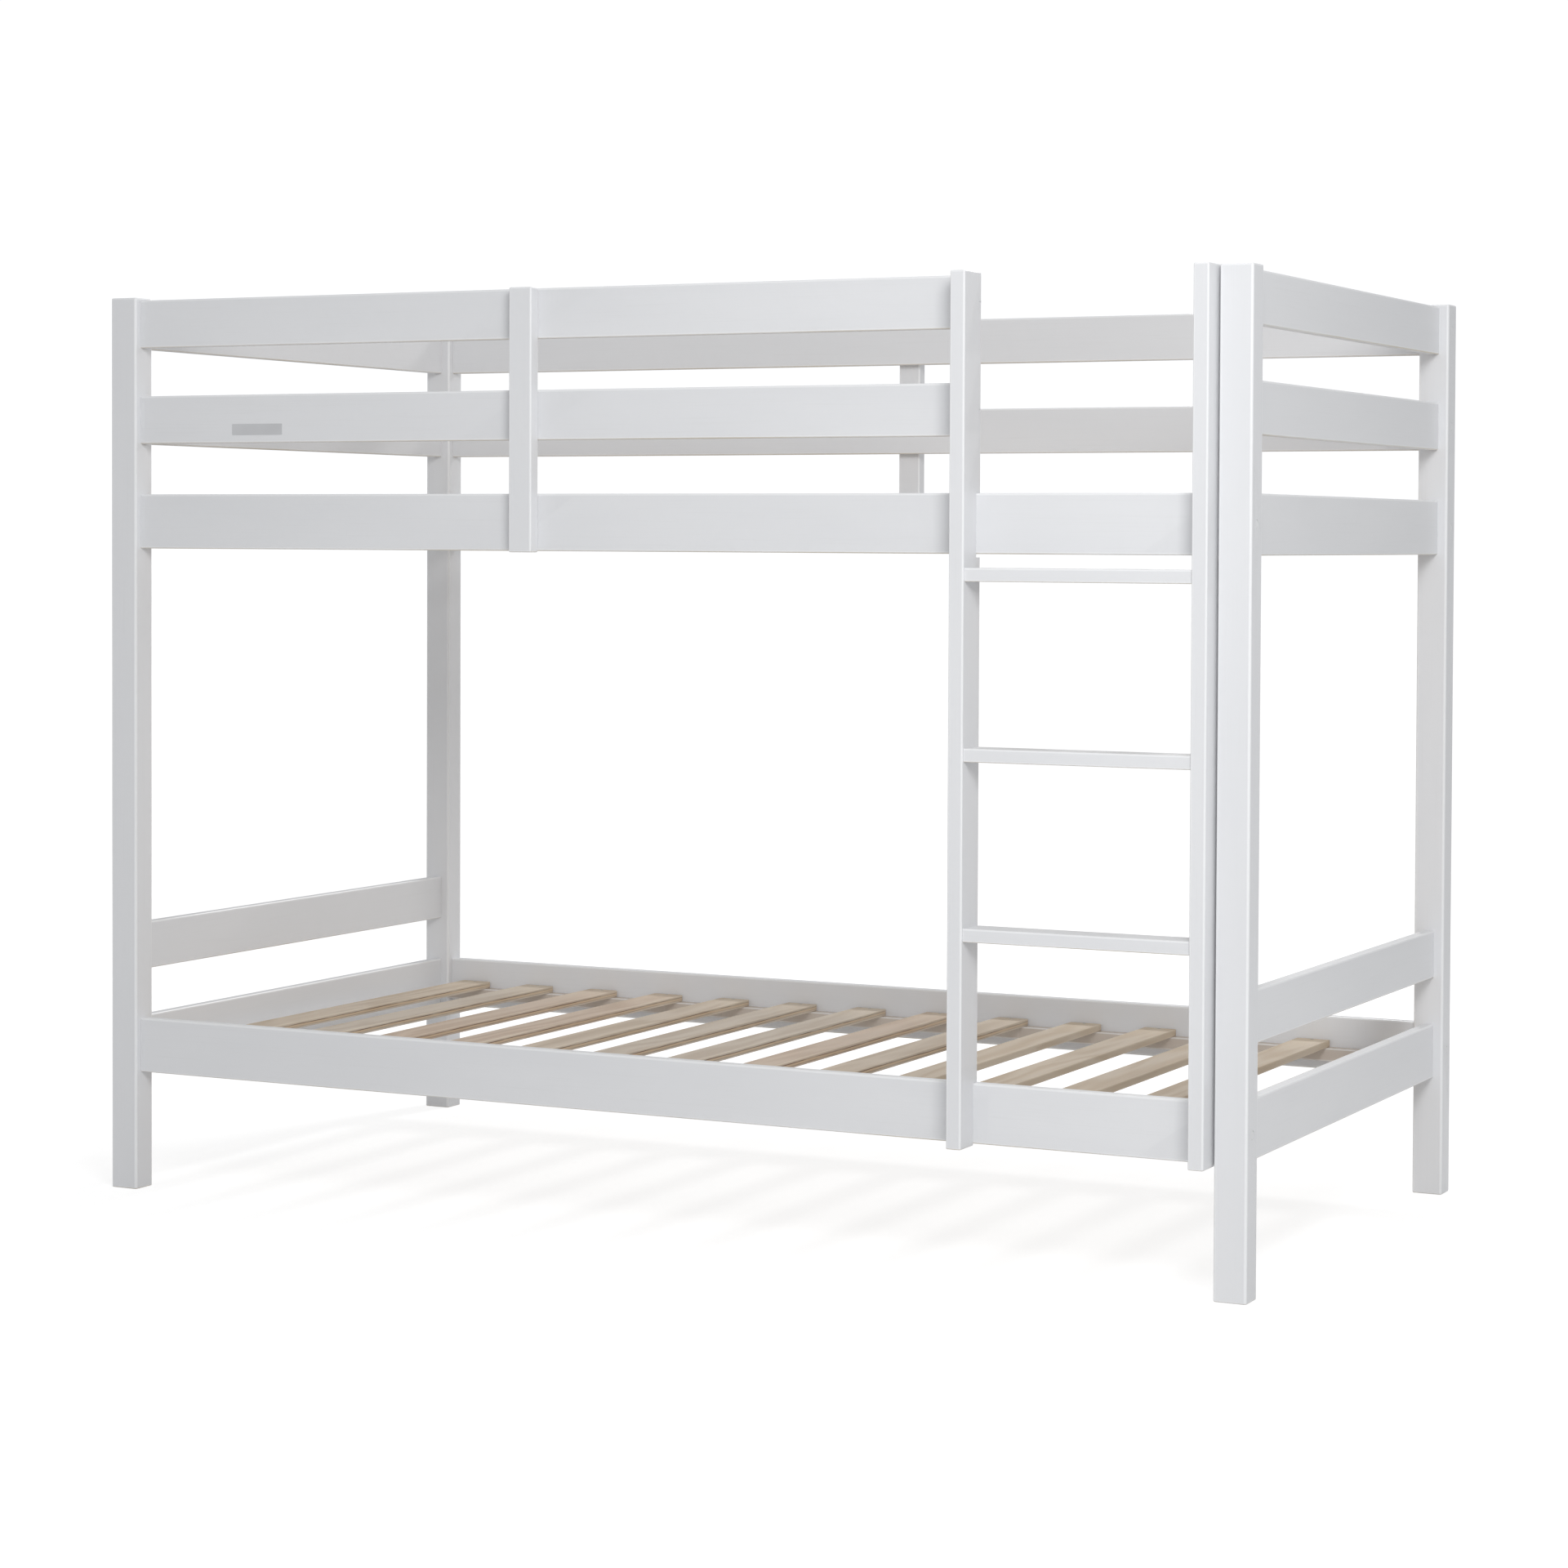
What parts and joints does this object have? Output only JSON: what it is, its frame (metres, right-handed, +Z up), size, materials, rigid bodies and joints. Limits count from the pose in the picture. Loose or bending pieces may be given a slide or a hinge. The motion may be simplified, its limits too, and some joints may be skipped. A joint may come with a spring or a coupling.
{
  "type": "bunk bed with ladder",
  "caption": "White slatted bunk bed with square posts, plank guard rails round the upper bunk and a fixed vertical ladder at the front right.",
  "frame": {"origin": "middle of the bed's footprint, on the floor", "axes": "+X along the bed towards the ladder end, +Y from the ladder side to the back, +Z up"},
  "size_m": [1.99, 1.02, 1.468],
  "materials": {
    "white_lacquer": "satin white lacquer on sanded pine",
    "slat_wood": "planed pine and plywood slats, unfinished",
    "dowel_wood": "plain beech dowel",
    "zinc_steel": "zinc plated steel",
    "white_plastic": "white moulded cover"
  },
  "bodies": {
    "root": {"barrel_nuts": "zinc_steel", "batten_screws": "zinc_steel", "bearer_screws": "zinc_steel", "bolt_covers": "white_plastic", "end_dowels": "dowel_wood", "foot_rail": "white_lacquer", "front_guard_batten": "white_lacquer", "front_middle_guard_rail": "white_lacquer", "front_top_guard_rail": "white_lacquer", "guard_end_screws": "zinc_steel", "head_rail": "white_lacquer", "ladder_left_stile": "white_lacquer", "ladder_right_stile": "white_lacquer", "ladder_rung_1": "white_lacquer", "ladder_rung_2": "white_lacquer", "ladder_rung_3": "white_lacquer", "ladder_screws": "zinc_steel", "left_middle_guard_rail": "white_lacquer", "left_top_guard_rail": "white_lacquer", "lower_front_bearer": "white_lacquer", "lower_front_side_rail": "white_lacquer", "lower_left_end_rail": "white_lacquer", "lower_rear_bearer": "white_lacquer", "lower_rear_side_rail": "white_lacquer", "lower_right_end_rail": "white_lacquer", "lower_slat_01": "slat_wood", "lower_slat_02": "slat_wood", "lower_slat_03": "slat_wood", "lower_slat_04": "slat_wood", "lower_slat_05": "slat_wood", "lower_slat_06": "slat_wood", "lower_slat_07": "slat_wood", "lower_slat_08": "slat_wood", "lower_slat_09": "slat_wood", "lower_slat_10": "slat_wood", "lower_slat_11": "slat_wood", "lower_slat_12": "slat_wood", "lower_slat_13": "slat_wood", "lower_slat_14": "slat_wood", "post_front_left": "white_lacquer", "post_front_right": "white_lacquer", "post_rear_left": "white_lacquer", "post_rear_right": "white_lacquer", "rail_bolts": "zinc_steel", "rear_guard_batten": "white_lacquer", "rear_middle_guard_rail": "white_lacquer", "rear_top_guard_rail": "white_lacquer", "right_middle_guard_rail": "white_lacquer", "right_top_guard_rail": "white_lacquer", "rung_dowels": "dowel_wood", "side_dowels": "dowel_wood", "slat_screws": "zinc_steel", "upper_front_bearer": "white_lacquer", "upper_front_side_rail": "white_lacquer", "upper_left_end_rail": "white_lacquer", "upper_rear_bearer": "white_lacquer", "upper_rear_side_rail": "white_lacquer", "upper_right_end_rail": "white_lacquer", "upper_slats": "slat_wood"}
  },
  "joints": []
}
